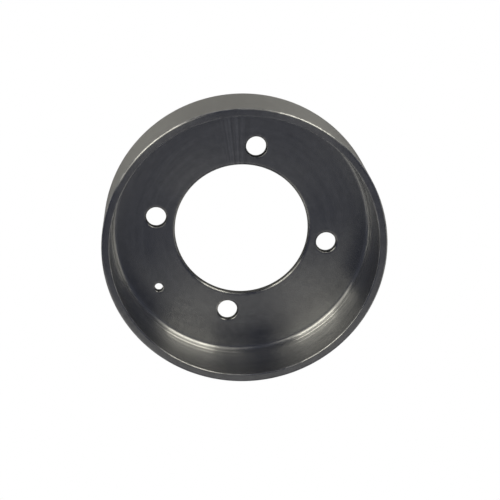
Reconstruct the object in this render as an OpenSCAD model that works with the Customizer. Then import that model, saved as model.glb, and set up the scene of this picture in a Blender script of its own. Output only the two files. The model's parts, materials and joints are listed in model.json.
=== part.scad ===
// Brake drum: a shallow cup turned from one steel blank, which bolts to a hub and
// turns with it while brake shoes press outwards on the inside of its wall.
// Millimetres. The web lies on the XY plane with its back face at z = 0, the axis of
// rotation is Z, and the open rim faces up.

/* [Drum] */
// Outside diameter of the wall
outer_d = 159; // [158:0.5:170]
// Diameter of the inner face that the brake shoes rub on
inner_d = 150; // [146:0.5:152]
// Height from the back of the web to the open rim
drum_h = 41; // [30:1:80]
// Thickness of the web
web_t = 4; // [4:0.5:8]

/* [Edges] */
// Radius of the fillet between the web and the wall
fillet_r = 3; // [1:0.25:3.25]
// Radius on the outer edge of the rim
rim_outer_r = 1.2; // [0.4:0.1:1.5]
// Radius on the inner edge of the rim
rim_inner_r = 0.7; // [0.3:0.1:1.5]
// Radius on the outer corner of the back face
back_corner_r = 1; // [0.4:0.1:2.5]

/* [Foot of the wall] */
// Height above the web at which the first small step ends the fillet land
first_step_h = 3.4; // [3.3:0.1:5]
// Height above the web at which the second small step starts the rubbing face
second_step_h = 8.2; // [6:0.1:12]
// How far the first step goes back into the wall
first_step_w = 0.2; // [0.1:0.05:0.5]
// How far the second step goes back into the wall
second_step_w = 0.12; // [0.05:0.01:0.3]

/* [Centre bore] */
// Diameter of the bore that fits over the hub's spigot
bore_d = 77.3; // [60:0.1:79]
// Radius on the bore's edge inside the drum
bore_edge_r = 1.7; // [0.5:0.1:2]
// Chamfer on the bore's edge at the back face
bore_back_chamfer = 0.6; // [0.3:0.1:1]

/* [Bolt holes] */
// Number of bolt holes
bolt_count = 4; // [3:1:6]
// Diameter of the circle through the bolt holes' centres
bolt_circle_d = 100; // [98:0.5:110]
// Diameter of each bolt hole
bolt_hole_d = 11.5; // [8:0.1:12]
// Radius on each bolt hole's edge inside the drum
bolt_edge_r = 1.2; // [0.4:0.1:1.2]
// Chamfer on each bolt hole's edge at the back face
bolt_back_chamfer = 0.6; // [0.3:0.1:1]

/* [Locating hole] */
// Diameter of the circle through the locating hole's centre
locating_circle_d = 119; // [112:0.5:124]
// Diameter of the locating hole
locating_hole_d = 4.8; // [3:0.1:7]
// Radius on the locating hole's edge inside the drum
locating_edge_r = 0.8; // [0.3:0.1:1]
// Chamfer on the locating hole's edge at the back face
locating_back_chamfer = 0.4; // [0.2:0.1:0.8]

/* [Hidden] */
$fn = 180;
steel_grey = [0.27, 0.28, 0.29];
outer_r = outer_d / 2;
inner_r = inner_d / 2;
// The land between the two steps, and the land below the first one
upper_land_r = inner_r - second_step_w;
lower_land_r = upper_land_r - first_step_w;
first_step_z = web_t + first_step_h;
second_step_z = web_t + second_step_h;
// The locating hole sits halfway between two bolt holes
bolt_pitch_angle = 360 / bolt_count;
locating_angle = bolt_pitch_angle / 2;
// How far a cutter runs past the face it opens
overrun = 1;

// The area between a square corner at the origin and the arc that rounds it
module corner_area(r) {
    difference() {
        square(r);
        translate([r, r])
            circle(r);
    }
}

// Half the section of the plain blank, with the rim's and the back's outer edges rounded
module blank_section() {
    difference() {
        square([outer_r, drum_h]);
        translate([outer_r, drum_h])
            rotate(180)
                corner_area(rim_outer_r);
        translate([outer_r, 0])
            rotate(90)
                corner_area(back_corner_r);
    }
}

// Half the section of the space inside the wall. The two steps are 45 degree bevels.
module cavity_section() {
    difference() {
        polygon([
            [0, web_t],
            [lower_land_r, web_t],
            [lower_land_r, first_step_z],
            [upper_land_r, first_step_z + first_step_w],
            [upper_land_r, second_step_z],
            [inner_r, second_step_z + second_step_w],
            [inner_r, drum_h + overrun],
            [0, drum_h + overrun]
        ]);
        translate([lower_land_r, web_t])
            rotate(90)
                corner_area(fillet_r);
    }
    translate([inner_r, drum_h])
        mirror([0, 1])
            corner_area(rim_inner_r);
}

// A cutter for a round hole through the web: rounded inside the drum, chamfered behind
module web_hole(d, edge_r, back_chamfer) {
    r = d / 2;
    rotate_extrude() {
        translate([0, -overrun])
            square([r, web_t + 2 * overrun]);
        translate([r, web_t])
            mirror([0, 1])
                corner_area(edge_r);
        polygon([
            [0, -overrun],
            [r + back_chamfer + overrun, -overrun],
            [r, back_chamfer],
            [0, back_chamfer]
        ]);
    }
}

module bolt_holes() {
    for (i = [0 : bolt_count - 1])
        rotate(i * bolt_pitch_angle)
            translate([bolt_circle_d / 2, 0])
                web_hole(bolt_hole_d, bolt_edge_r, bolt_back_chamfer);
}

module locating_hole() {
    rotate(locating_angle)
        translate([locating_circle_d / 2, 0])
            web_hole(locating_hole_d, locating_edge_r, locating_back_chamfer);
}

module drum() {
    color(steel_grey)
        difference() {
            rotate_extrude()
                difference() {
                    blank_section();
                    cavity_section();
                }
            web_hole(bore_d, bore_edge_r, bore_back_chamfer);
            bolt_holes();
            locating_hole();
        }
}

drum();
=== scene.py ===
"""A turned steel brake drum on a plain white table, seen into its open side.

Lengths are metres in the frame's own axes: +Z is the drum's axis, and the web lies on the
table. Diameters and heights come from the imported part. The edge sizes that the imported
record doesn't state are named below.
"""

import json
import math

import bmesh
import bpy
from mathutils import Matrix, Vector


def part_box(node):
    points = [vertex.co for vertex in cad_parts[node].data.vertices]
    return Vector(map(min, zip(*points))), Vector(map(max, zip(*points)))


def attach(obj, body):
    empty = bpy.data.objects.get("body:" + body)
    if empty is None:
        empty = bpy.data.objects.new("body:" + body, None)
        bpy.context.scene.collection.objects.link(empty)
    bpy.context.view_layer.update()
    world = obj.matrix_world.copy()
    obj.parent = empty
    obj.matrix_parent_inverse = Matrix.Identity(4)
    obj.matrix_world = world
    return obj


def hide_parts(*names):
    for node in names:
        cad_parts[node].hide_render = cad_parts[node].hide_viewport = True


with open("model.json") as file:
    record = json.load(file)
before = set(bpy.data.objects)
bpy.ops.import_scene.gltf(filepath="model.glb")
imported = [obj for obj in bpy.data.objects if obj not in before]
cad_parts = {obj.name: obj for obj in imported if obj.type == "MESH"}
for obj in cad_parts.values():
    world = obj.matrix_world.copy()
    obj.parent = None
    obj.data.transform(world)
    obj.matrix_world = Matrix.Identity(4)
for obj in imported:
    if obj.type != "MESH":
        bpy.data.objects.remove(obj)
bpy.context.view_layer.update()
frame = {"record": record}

MM = 0.001
TURN = 2 * math.pi

# Sizes that the frame states
MOUNTS = {mount["name"]: mount for mount in frame["record"]["mounts"]}
LOW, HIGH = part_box("drum")
OUTER_R = HIGH.x
RIM_Z = HIGH.z
BACK_Z = LOW.z
WEB_Z = MOUNTS["hub_face"]["pos_m"][2]
SHOE_R = MOUNTS["drum_bore"]["dims"]["r_mm"] * MM
BORE_R = MOUNTS["centre_bore"]["dims"]["r_mm"] * MM
BOLT_CIRCLE_R = MOUNTS["bolt_circle"]["dims"]["pcd_mm"] * MM / 2
BOLT_COUNT = MOUNTS["bolt_circle"]["dims"]["count"]
BOLT_R = MOUNTS["bolt_circle"]["dims"]["hole_r_mm"] * MM
LOCATING_CENTRE = Vector(MOUNTS["locating_hole"]["pos_m"]).to_2d()
LOCATING_R = MOUNTS["locating_hole"]["dims"]["r_mm"] * MM

# Edges, and the two small steps at the foot of the wall. The fillet is 0.1 mm larger than
# the part's and the steps are narrower, which keeps the lines they make faint.
FILLET_R = 3.1 * MM
RIM_OUTER_EDGE_R = 1.2 * MM
RIM_INNER_EDGE_R = 0.7 * MM
BACK_EDGE_R = 1 * MM
FIRST_STEP_H = 3.4 * MM
SECOND_STEP_H = 8.2 * MM
FIRST_STEP_W = 0.18 * MM
SECOND_STEP_W = 0.04 * MM
BORE_EDGE_R = 1.7 * MM
BORE_CHAMFER = 0.6 * MM
BOLT_EDGE_R = 1.2 * MM
BOLT_CHAMFER = 0.6 * MM
LOCATING_EDGE_R = 0.8 * MM
LOCATING_CHAMFER = 0.4 * MM

# How fine the mesh is
SECTORS = 2 * BOLT_COUNT
SECTOR_STEPS = 30
SPOKE_STEPS = 14
HOLE_RINGS = 7
# How strongly the rings round a hole crowd towards its edge
RING_CROWDING = 1.5
WALL_RINGS = 8
SHORT_RINGS = 3
BACK_RINGS = 4
SMALL_ARC_STEPS = 6
FILLET_STEPS = 12
SHARP_ANGLE = math.radians(25)
# Radius at which the web's grid round the holes meets its plain outer band
GRID_R = (LOCATING_CENTRE.length + LOCATING_R + SHOE_R - FILLET_R) / 2

# The steel: its colours and its finish
STEEL_DARK = (0.39, 0.395, 0.405)
STEEL_LIGHT = (0.45, 0.45, 0.445)
# How far the painted shade darkens the holes' edges and walls
HOLE_PAINTED_SHADE = 0.65
# How much lighter the rounded rim edges are: partly wear, partly a painted highlight
EDGE_WEAR_AND_HIGHLIGHT = 0.7
# How much brighter the lower part of the wall is painted: partly the shoes' rubbing, partly a
# painted highlight
RUB_AND_PAINTED_HIGHLIGHT = 0.57
ROUGHNESS = 0.235
ROUGHNESS_SWING = 0.015
ANISOTROPY = 0.95
# A quarter turn, so that highlights stretch across the tool marks
ANISOTROPIC_TURN = 0.25
TOOL_MARK_BUMP = 0.09
TOOL_MARK_DEPTH = 0.02 * MM
# The sizes of its marks and stains
FINE_MARK_PITCH = 0.5 * MM
BROAD_MARK_PITCH = 3 * MM
CLOUD_SCALE = 18.0
MOTTLE_SCALE = 260.0
GRAIN_SCALE = 1200.0
# How much finer detail a noise has on top of its scale
RICH_DETAIL = 3.0
PLAIN_DETAIL = 1.0
# How far each kind of mark makes the steel lighter and darker
BROAD_MARK_STRENGTH = 0.04
MOTTLE_STRENGTH = 0.08
GRAIN_STRENGTH = 0.08
# Painted reflection: a few faint light and dark streaks, painted into the colour across the tool
# marks, in one part of the web
STREAK_ANGLE = math.radians(281)
STREAK_SPREAD = math.radians(14)
STREAK_SCALE = 30.0
REFLECTION_STREAK_STRENGTH = 0.22
STREAK_NOISE = (0.35, 0.65)
# How far up the fillet the streaks still reach
STREAK_TOP = 0.1 * MM
# A noise's values mostly lie between these two
NOISE_LOW = 0.3
NOISE_HIGH = 0.7
# Depths below the web's face at which a hole's painted shade starts and is full
HOLE_DARK_FROM = 0.1 * MM
HOLE_DARK_FULL = 0.6 * MM
# How much deeper both lie in the centre bore
BORE_DARK_FROM_EXTRA = 0.3 * MM
BORE_DARK_FULL_EXTRA = 0.6 * MM
# The brighter band, partly rubbed and partly painted highlight, is full up to this height above the
# web, and ends this far below the rim
RUB_AND_HIGHLIGHT_TOP = 12 * MM
RUB_AND_HIGHLIGHT_END = 8 * MM
# The rim's edges are lighter, partly worn and partly a painted highlight, where they are rounded by
# more than the first, fully by the second
WEAR_AND_HIGHLIGHT_FROM = 0.05
WEAR_AND_HIGHLIGHT_FULL = 0.2
LEAST_WEAR_AND_HIGHLIGHT = 0.3
WEAR_AND_HIGHLIGHT_PATCHES = (0.4, 0.6)
# A point this close to a turned face counts as on it
HAIR = 0.01 * MM

# The view: where the camera stands as seen from the point it looks at
LOOK_AT = Vector((-6.85 * MM, 11.35 * MM, WEB_Z))
CAMERA_AZIMUTH = math.radians(-69.7)
CAMERA_ELEVATION = math.radians(71.8)
CAMERA_DISTANCE = 805.6 * MM
CAMERA_ROLL = math.radians(168.9)
# The camera's own sizes are in millimetres
CAMERA_LENS = 99.65
SENSOR_WIDTH = 36

# The studio
FLOOR_R = 4.0
FLOOR_ALBEDO = 0.88
AMBIENT = (0.065, 0.069, 0.09)
PANEL_DISTANCE = 1.2
# Each soft panel: azimuth, elevation, width and height in degrees, and radiance. The two
# keys make the two bright zones. The high fill stays just short of the direction in which
# the flat web mirrors the camera, so it lifts the web without flooding it.
PANELS = {
    "first_key": (244, 30, 26, 26, 2.4),
    "first_halo": (248, 34, 46, 50, 0.35),
    "second_key": (326, 30, 24, 18, 2.4),
    "second_halo": (332, 38, 40, 56, 0.7),
    "left_fill": (165, 22, 50, 30, 0.35),
    "far_fill": (60, 42, 30, 26, 0.4),
    "high_fill": (110, 58, 30, 26, 0.2),
}
PANEL_WHITE = (1.0, 0.96, 0.82)


class Skin:
    """The points and the faces of one closed surface, as they are added."""

    def __init__(self):
        self.points = []
        self.faces = []

    def add(self, points):
        first = len(self.points)
        self.points.extend(points)
        return list(range(first, len(self.points)))

    def bridge(self, ring_a, ring_b, closed=True):
        count = len(ring_a)
        for i in range(count if closed else count - 1):
            j = (i + 1) % count
            self.faces.append((ring_a[i], ring_a[j], ring_b[j], ring_b[i]))


def polar(radius, angle, z):
    return Vector((radius * math.cos(angle), radius * math.sin(angle), z))


def arc(centre, radius, start_deg, end_deg, steps):
    """Points (r, z) of a profile's arc, both ends included."""
    angles = [math.radians(start_deg + (end_deg - start_deg) * i / steps) for i in range(steps + 1)]
    return [(centre[0] + radius * math.cos(a), centre[1] + radius * math.sin(a)) for a in angles]


def line(start, end, steps):
    """Points (r, z) of a profile's straight stretch, without its two ends."""
    return [
        tuple(s + (e - s) * i / steps for s, e in zip(start, end))
        for i in range(1, steps)
    ]


def hole_profile(radius, edge_r, chamfer):
    """Points (r, z) down a hole through the web: round edge, plain wall, chamfer behind."""
    edge = arc((radius + edge_r, WEB_Z - edge_r), edge_r, 90, 180, SMALL_ARC_STEPS)
    behind = [(radius, BACK_Z + chamfer), (radius + chamfer, BACK_Z)]
    return edge + line(edge[-1], behind[0], SHORT_RINGS) + behind


def wall_profile():
    """Points (r, z) from the web's plain band, up the inside, over the rim and down to the back."""
    upper_land_r = SHOE_R - SECOND_STEP_W
    lower_land_r = upper_land_r - FIRST_STEP_W
    first_z = WEB_Z + FIRST_STEP_H
    second_z = WEB_Z + SECOND_STEP_H
    fillet = arc((lower_land_r - FILLET_R, WEB_Z + FILLET_R), FILLET_R, -90, 0, FILLET_STEPS)
    steps = [
        (lower_land_r, first_z),
        (upper_land_r, first_z + FIRST_STEP_W),
        (upper_land_r, second_z),
        (SHOE_R, second_z + SECOND_STEP_W),
    ]
    inner_edge = arc(
        (SHOE_R + RIM_INNER_EDGE_R, RIM_Z - RIM_INNER_EDGE_R),
        RIM_INNER_EDGE_R, 180, 90, SMALL_ARC_STEPS,
    )
    outer_edge = arc(
        (OUTER_R - RIM_OUTER_EDGE_R, RIM_Z - RIM_OUTER_EDGE_R),
        RIM_OUTER_EDGE_R, 90, 0, SMALL_ARC_STEPS,
    )
    back_edge = arc(
        (OUTER_R - BACK_EDGE_R, BACK_Z + BACK_EDGE_R),
        BACK_EDGE_R, 0, -90, SMALL_ARC_STEPS,
    )
    profile = line((GRID_R, WEB_Z), fillet[0], SHORT_RINGS)
    profile += fillet + steps
    profile += line(steps[-1], inner_edge[0], WALL_RINGS)
    profile += inner_edge + line(inner_edge[-1], outer_edge[0], SHORT_RINGS) + outer_edge
    profile += line(outer_edge[-1], back_edge[0], WALL_RINGS)
    profile += back_edge + line(back_edge[-1], (GRID_R, BACK_Z), BACK_RINGS)
    return profile


def full_ring(skin, radius, z):
    """A ring round the drum's axis. It starts where the first sector starts."""
    count = SECTORS * SECTOR_STEPS
    start = -TURN / SECTORS / 2
    return skin.add([polar(radius, start + TURN * k / count, z) for k in range(count)])


def web_face(skin, inner_ring, outer_ring, holes, z, edge_radius):
    """One flat face of the web, as a grid of quads in each sector. Returns each hole's ring."""
    inner_r = skin.points[inner_ring[0]].xy.length
    start = -TURN / SECTORS / 2
    spokes = []
    for s in range(SECTORS):
        angle = start + TURN * s / SECTORS
        radii = [inner_r + (GRID_R - inner_r) * j / SPOKE_STEPS for j in range(1, SPOKE_STEPS)]
        spoke = skin.add([polar(radius, angle, z) for radius in radii])
        first = s * SECTOR_STEPS
        spokes.append([inner_ring[first]] + spoke + [outer_ring[first]])
    hole_rings = {}
    for s in range(SECTORS):
        ks = [(s * SECTOR_STEPS + k) % len(inner_ring) for k in range(SECTOR_STEPS + 1)]
        near, far = spokes[s], spokes[(s + 1) % SECTORS]
        inner = [inner_ring[k] for k in ks]
        outer = [outer_ring[k] for k in ks]
        if s in holes:
            border = inner[:-1] + far[:-1] + outer[:0:-1] + near[:0:-1]
            hole_rings[s] = grid_to_hole(skin, border, holes[s], z, edge_radius[s])
        else:
            plain_grid(skin, near, far, inner, outer, z)
    return hole_rings


def plain_grid(skin, near, far, inner, outer, z):
    """Quads between two spokes and two arcs of a sector without a hole."""
    rows = [inner]
    start = math.atan2(*reversed(skin.points[near[1]].xy))
    for j in range(1, SPOKE_STEPS):
        radius = skin.points[near[j]].xy.length
        angles = [start + TURN * k / SECTORS / SECTOR_STEPS for k in range(1, SECTOR_STEPS)]
        row = skin.add([polar(radius, angle, z) for angle in angles])
        rows.append([near[j]] + row + [far[j]])
    rows.append(outer)
    for lower, upper in zip(rows, rows[1:]):
        skin.bridge(lower, upper, closed=False)


def hole_angles(skin, border, centre):
    """The directions in which a hole's ring has its points: halfway between an even
    spacing and the directions of the border's points."""
    seen = []
    for index in border:
        offset = skin.points[index].xy - centre
        angle = math.atan2(offset.y, offset.x)
        while seen and angle > seen[-1]:
            angle -= TURN
        seen.append(angle)
    even = [seen[0] - TURN * i / len(border) for i in range(len(border))]
    return [(a + b) / 2 for a, b in zip(seen, even)]


def grid_to_hole(skin, border, centre, z, radius):
    """Rings of quads from a sector's border in to a hole's edge. Returns the hole's ring."""
    angles = hole_angles(skin, border, centre)
    ring = border
    for step in range(1, HOLE_RINGS + 1):
        share = 1 - (1 - step / HOLE_RINGS) ** RING_CROWDING
        points = []
        for index, angle in zip(border, angles):
            edge = Vector((*centre, 0)) + polar(radius, angle, z)
            points.append(skin.points[index].lerp(edge, share))
        next_ring = skin.add(points)
        skin.bridge(ring, next_ring)
        ring = next_ring
    return ring


def hole_wall(skin, front_ring, back_ring, centre, profile):
    """The wall of a hole, between its rings on the web's front and back faces."""
    ring = front_ring
    for radius, z in profile[1:-1]:
        points = []
        for index in front_ring:
            outward = (skin.points[index].xy - centre).normalized()
            points.append(Vector((*(centre + outward * radius), z)))
        next_ring = skin.add(points)
        skin.bridge(ring, next_ring)
        ring = next_ring
    skin.bridge(ring, back_ring)


def build_drum():
    """The drum as one closed mesh of quads that follow the turning."""
    skin = Skin()
    bore = hole_profile(BORE_R, BORE_EDGE_R, BORE_CHAMFER)
    bolt = hole_profile(BOLT_R, BOLT_EDGE_R, BOLT_CHAMFER)
    locating = hole_profile(LOCATING_R, LOCATING_EDGE_R, LOCATING_CHAMFER)
    axis = Vector((0, 0))
    centres = {s: polar(BOLT_CIRCLE_R, TURN * s / SECTORS, 0).xy for s in range(0, SECTORS, 2)}
    profiles = dict.fromkeys(centres, bolt)
    locating_angle = math.atan2(LOCATING_CENTRE.y, LOCATING_CENTRE.x)
    locating_sector = round(locating_angle / TURN * SECTORS) % SECTORS
    centres[locating_sector] = LOCATING_CENTRE
    profiles[locating_sector] = locating

    front_inner = full_ring(skin, *bore[0])
    back_inner = full_ring(skin, *bore[-1])
    front_outer = full_ring(skin, GRID_R, WEB_Z)
    back_outer = full_ring(skin, GRID_R, BACK_Z)
    front_r = {s: profile[0][0] for s, profile in profiles.items()}
    back_r = {s: profile[-1][0] for s, profile in profiles.items()}
    front = web_face(skin, front_inner, front_outer, centres, WEB_Z, front_r)
    back = web_face(skin, back_inner, back_outer, centres, BACK_Z, back_r)
    for s, centre in centres.items():
        hole_wall(skin, front[s], back[s], centre, profiles[s])
    hole_wall(skin, front_inner, back_inner, axis, bore)

    ring = front_outer
    for radius, z in wall_profile():
        next_ring = full_ring(skin, radius, z)
        skin.bridge(ring, next_ring)
        ring = next_ring
    skin.bridge(ring, back_outer)
    return skin


def make_object(name, skin):
    """A Blender object from a skin, smooth except along its sharp edges."""
    mesh = bpy.data.meshes.new(name)
    mesh.from_pydata([tuple(point) for point in skin.points], [], skin.faces)
    shape = bmesh.new()
    shape.from_mesh(mesh)
    bmesh.ops.recalc_face_normals(shape, faces=shape.faces)
    shape.to_mesh(mesh)
    shape.free()
    mesh.shade_smooth()
    mesh.set_sharp_from_angle(angle=SHARP_ANGLE)
    piece = bpy.data.objects.new(name, mesh)
    bpy.context.scene.collection.objects.link(piece)
    even_shading = piece.modifiers.new("even_shading", "WEIGHTED_NORMAL")
    even_shading.keep_sharp = True
    return piece


class Nodes:
    """Short calls for building a node tree."""

    def __init__(self, tree):
        self.tree = tree
        tree.nodes.clear()

    def add(self, kind, inputs=None, **settings):
        node = self.tree.nodes.new(kind)
        for name, value in settings.items():
            setattr(node, name, value)
        for name, value in (inputs or {}).items():
            self.feed(node.inputs[name], value)
        return node

    def feed(self, socket, value):
        if isinstance(value, bpy.types.NodeSocket):
            self.tree.links.new(value, socket)
        else:
            socket.default_value = value

    def math(self, operation, *values):
        inputs = dict(enumerate(values))
        return self.add("ShaderNodeMath", inputs, operation=operation).outputs[0]

    def vector(self, operation, *values, scale=None):
        inputs = dict(enumerate(values))
        if scale is not None:
            inputs["Scale"] = scale
        node = self.add("ShaderNodeVectorMath", inputs, operation=operation)
        is_number = operation in ("LENGTH", "DOT_PRODUCT")
        return node.outputs["Value" if is_number else "Vector"]

    def span(self, value, from_min, from_max, to_min, to_max):
        inputs = {"Value": value, "From Min": from_min, "From Max": from_max,
                  "To Min": to_min, "To Max": to_max}
        return self.add("ShaderNodeMapRange", inputs).outputs["Result"]

    def swing(self, noise, strength):
        """A factor round 1 that follows a noise."""
        return self.span(noise, NOISE_LOW, NOISE_HIGH, 1.0 - strength, 1.0 + strength)

    def noise(self, vector, scale, detail=2.0, roughness=0.5):
        inputs = {"Vector": vector, "Scale": scale, "Detail": detail, "Roughness": roughness}
        return self.add("ShaderNodeTexNoise", inputs).outputs["Fac"]

    def split(self, vector):
        return self.add("ShaderNodeSeparateXYZ", {"Vector": vector}).outputs

    def combine(self, x, y, z):
        return self.add("ShaderNodeCombineXYZ", {"X": x, "Y": y, "Z": z}).outputs[0]

    def mix_colour(self, factor, a, b):
        node = self.add("ShaderNodeMix", data_type="RGBA")
        self.feed(node.inputs["Factor"], factor)
        self.feed(node.inputs["A"], a)
        self.feed(node.inputs["B"], b)
        return node.outputs["Result"]


def turned_steel():
    """Dark steel with tool marks round the axis, which stretch highlights across them."""
    material = bpy.data.materials.new("turned_steel_looks")
    material.use_nodes = True
    n = Nodes(material.node_tree)
    place = n.add("ShaderNodeTexCoord").outputs["Object"]
    x, y, z = n.split(place)
    flat = n.combine(x, y, 0.0)
    radius = n.vector("LENGTH", flat)
    way = n.vector("NORMALIZE", flat)
    way_x, way_y, _ = n.split(way)
    # Distance along the turned profile: radius on the web, height on the walls
    along = n.math("ADD", radius, z)

    fine_place = n.combine(n.math("DIVIDE", along, FINE_MARK_PITCH), way_x, way_y)
    broad_place = n.combine(n.math("DIVIDE", along, BROAD_MARK_PITCH), way_x, way_y)
    fine = n.noise(fine_place, 1.0, PLAIN_DETAIL)
    broad = n.noise(broad_place, 1.0)
    cloud = n.noise(place, CLOUD_SCALE, RICH_DETAIL)
    mottle = n.noise(place, MOTTLE_SCALE, RICH_DETAIL)
    grain = n.noise(place, GRAIN_SCALE, PLAIN_DETAIL)

    colour = n.mix_colour(cloud, (*STEEL_DARK, 1), (*STEEL_LIGHT, 1))
    tone = n.swing(mottle, MOTTLE_STRENGTH)
    tone = n.math("MULTIPLY", tone, n.swing(broad, BROAD_MARK_STRENGTH))
    tone = n.math("MULTIPLY", tone, n.swing(grain, GRAIN_STRENGTH))
    # Painted reflection: light and dark streaks across the tool marks on part of the web
    tone = n.math("MULTIPLY", tone, painted_reflection_streaks(n, radius, way, z))
    # Painted shade down the holes' edges and walls
    tone = n.math("MULTIPLY", tone, hole_painted_shade(n, radius, z))
    # Brighter lower wall: partly shoe rubbing, partly a painted highlight
    tone = n.math("MULTIPLY", tone, wall_rub_and_painted_highlight(n, radius, z))
    # Rounded rim and back edges: partly wear, partly a painted highlight
    edge_wear_and_highlight = rim_wear_and_painted_highlight(n, radius, mottle)
    tone = n.math("MULTIPLY", tone, n.span(edge_wear_and_highlight, 0.0, 1.0, 1.0, 1.0 + EDGE_WEAR_AND_HIGHLIGHT))
    colour = n.vector("SCALE", colour, scale=tone)

    least, most = ROUGHNESS - ROUGHNESS_SWING, ROUGHNESS + ROUGHNESS_SWING
    roughness = n.span(broad, NOISE_LOW, NOISE_HIGH, least, most)
    bump = n.add("ShaderNodeBump", {
        "Height": fine,
        "Strength": TOOL_MARK_BUMP,
        "Distance": TOOL_MARK_DEPTH,
    })
    tangent = n.add("ShaderNodeTangent", direction_type="RADIAL", axis="Z").outputs[0]
    shader = n.add("ShaderNodeBsdfPrincipled", {
        "Base Color": colour,
        "Metallic": 1.0,
        "Roughness": roughness,
        "Anisotropic": ANISOTROPY,
        "Anisotropic Rotation": ANISOTROPIC_TURN,
        "Tangent": tangent,
        "Normal": bump.outputs[0],
    })
    n.add("ShaderNodeOutputMaterial", {"Surface": shader.outputs[0]})
    return material


def painted_reflection_streaks(n, radius, way, z):
    """Painted reflection: lighter and darker streaks painted along the web's radii, in one part of
    the web.
    """
    streaks = n.noise(way, STREAK_SCALE, RICH_DETAIL)
    middle = (math.cos(STREAK_ANGLE), math.sin(STREAK_ANGLE), 0.0)
    nearness = n.vector("DOT_PRODUCT", way, middle)
    share = n.span(nearness, math.cos(STREAK_SPREAD), math.cos(STREAK_SPREAD / 2), 0.0, 1.0)
    inside = n.math("LESS_THAN", radius, SHOE_R)
    on_web = n.math("MULTIPLY", n.math("LESS_THAN", z, WEB_Z + STREAK_TOP), inside)
    strength = n.math("MULTIPLY", n.math("MULTIPLY", share, on_web), REFLECTION_STREAK_STRENGTH)
    swing = n.span(streaks, *STREAK_NOISE, -1.0, 1.0)
    return n.math("MULTIPLY_ADD", swing, strength, 1.0)


def hole_painted_shade(n, radius, z):
    """Painted shade: darker down the holes' edges and walls, starting a little lower in the bore."""
    in_bore = n.math("LESS_THAN", radius, BORE_R + BORE_EDGE_R)
    start = n.math("MULTIPLY_ADD", in_bore, -BORE_DARK_FROM_EXTRA, WEB_Z - HOLE_DARK_FROM)
    end = n.math("MULTIPLY_ADD", in_bore, -BORE_DARK_FULL_EXTRA, WEB_Z - HOLE_DARK_FULL)
    depth = n.span(z, start, end, 0.0, 1.0)
    above_back = n.span(z, BACK_Z, BACK_Z + BORE_CHAMFER, 0.0, 1.0)
    inside = n.math("LESS_THAN", radius, GRID_R)
    share = n.math("MULTIPLY", n.math("MULTIPLY", depth, above_back), inside)
    return n.span(share, 0.0, 1.0, 1.0, 1.0 - HOLE_PAINTED_SHADE)


def wall_rub_and_painted_highlight(n, radius, z):
    """Brighter from the fillet up to a little short of the rim: partly where the shoes rub, partly a
    painted highlight.
    """
    above_web = n.span(z, WEB_Z, WEB_Z + FILLET_R / 2, 0.0, 1.0)
    below_rim = n.span(z, WEB_Z + RUB_AND_HIGHLIGHT_TOP, RIM_Z - RUB_AND_HIGHLIGHT_END, 1.0, 0.0)
    inside = n.math("LESS_THAN", radius, SHOE_R + HAIR)
    share = n.math("MULTIPLY", n.math("MULTIPLY", above_web, below_rim), inside)
    return n.span(share, 0.0, 1.0, 1.0, 1.0 + RUB_AND_PAINTED_HIGHLIGHT)


def rim_wear_and_painted_highlight(n, radius, patches):
    """How far the rounded edges of the rim and of the back are made bright, in patches: partly wear,
    partly a painted highlight.
    """
    normal = n.add("ShaderNodeNewGeometry").outputs["Normal"]
    upright = n.math("ABSOLUTE", n.split(normal)[2])
    turning = n.math("MULTIPLY", upright, n.math("SUBTRACT", 1.0, upright))
    rounded = n.span(turning, WEAR_AND_HIGHLIGHT_FROM, WEAR_AND_HIGHLIGHT_FULL, 0.0, 1.0)
    outside = n.math("GREATER_THAN", radius, SHOE_R + HAIR)
    patchy = n.span(patches, *WEAR_AND_HIGHLIGHT_PATCHES, LEAST_WEAR_AND_HIGHLIGHT, 1.0)
    return n.math("MULTIPLY", n.math("MULTIPLY", rounded, outside), patchy)


def toward(azimuth, elevation):
    """Unit vector towards an azimuth (from +X) and an elevation."""
    level = math.cos(elevation)
    return Vector((level * math.cos(azimuth), level * math.sin(azimuth), math.sin(elevation)))


def add_camera():
    data = bpy.data.cameras.new("camera")
    data.lens = CAMERA_LENS
    data.sensor_width = SENSOR_WIDTH
    data.clip_start = 10 * MM
    camera = bpy.data.objects.new("camera", data)
    bpy.context.scene.collection.objects.link(camera)
    back = toward(CAMERA_AZIMUTH, CAMERA_ELEVATION)
    level = back.to_track_quat("Z", "Y").to_matrix().to_4x4()
    place = Matrix.Translation(LOOK_AT + back * CAMERA_DISTANCE)
    camera.matrix_world = place @ level @ Matrix.Rotation(CAMERA_ROLL, 4, "Z")
    bpy.context.scene.camera = camera


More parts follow.
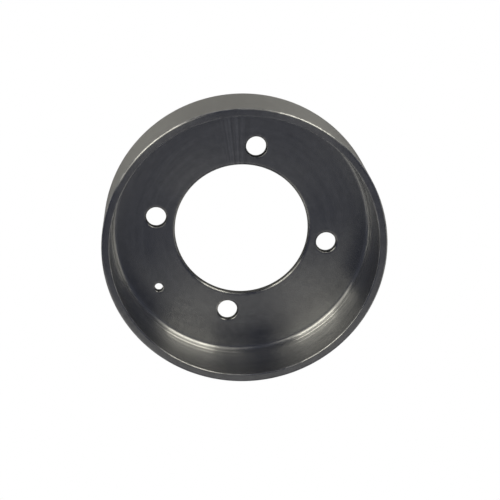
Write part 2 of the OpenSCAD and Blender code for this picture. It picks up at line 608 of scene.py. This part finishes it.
def add_floor():
    mesh = bpy.data.meshes.new("floor")
    corners = [(-FLOOR_R, -FLOOR_R), (FLOOR_R, -FLOOR_R), (FLOOR_R, FLOOR_R), (-FLOOR_R, FLOOR_R)]
    mesh.from_pydata([(x, y, BACK_Z) for x, y in corners], [], [(0, 1, 2, 3)])
    floor = bpy.data.objects.new("floor", mesh)
    bpy.context.scene.collection.objects.link(floor)
    material = bpy.data.materials.new("white_table")
    material.use_nodes = True
    n = Nodes(material.node_tree)
    seen = n.add("ShaderNodeLightPath").outputs["Is Camera Ray"]
    backdrop = n.add("ShaderNodeEmission", {"Color": (1, 1, 1, 1), "Strength": 1.0})
    table = n.add("ShaderNodeBsdfPrincipled", {
        "Base Color": (FLOOR_ALBEDO, FLOOR_ALBEDO, FLOOR_ALBEDO, 1),
        "Roughness": 1.0,
        "Specular IOR Level": 0.0,
    })
    mixed = n.add("ShaderNodeMixShader", {"Fac": seen, 1: table.outputs[0], 2: backdrop.outputs[0]})
    n.add("ShaderNodeOutputMaterial", {"Surface": mixed.outputs[0]})
    mesh.materials.append(material)


def add_panel(name, azimuth_deg, elevation_deg, wide_deg, high_deg, radiance):
    """A soft light panel that fills the given angles as seen from the drum."""
    width = 2 * PANEL_DISTANCE * math.tan(math.radians(wide_deg) / 2)
    height = 2 * PANEL_DISTANCE * math.tan(math.radians(high_deg) / 2)
    data = bpy.data.lights.new(name, "AREA")
    data.shape = "RECTANGLE"
    data.size = width
    data.size_y = height
    data.color = PANEL_WHITE
    data.energy = radiance * math.pi * width * height
    light = bpy.data.objects.new(name, data)
    light.visible_camera = False
    bpy.context.scene.collection.objects.link(light)
    back = toward(math.radians(azimuth_deg), math.radians(elevation_deg))
    place = Matrix.Translation(back * PANEL_DISTANCE)
    light.matrix_world = place @ back.to_track_quat("Z", "Y").to_matrix().to_4x4()


def add_world():
    """White to the camera, and nearly dark to the steel, so that the panels shape it."""
    world = bpy.data.worlds.new("studio")
    bpy.context.scene.world = world
    world.use_nodes = True
    n = Nodes(world.node_tree)
    seen = n.add("ShaderNodeLightPath").outputs["Is Camera Ray"]
    backdrop = n.add("ShaderNodeBackground", {"Color": (1, 1, 1, 1), "Strength": 1.0})
    around = n.add("ShaderNodeBackground", {"Color": (*AMBIENT, 1), "Strength": 1.0})
    mixed = n.add("ShaderNodeMixShader", {"Fac": seen, 1: around.outputs[0], 2: backdrop.outputs[0]})
    n.add("ShaderNodeOutputWorld", {"Surface": mixed.outputs[0]})


drum = make_object("turned_drum", build_drum())
drum.data.materials.append(turned_steel())
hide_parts("drum")
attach(drum, "root")

add_floor()
for name, panel in PANELS.items():
    add_panel(name, *panel)
add_world()
add_camera()
bpy.context.scene.view_settings.view_transform = "Standard"
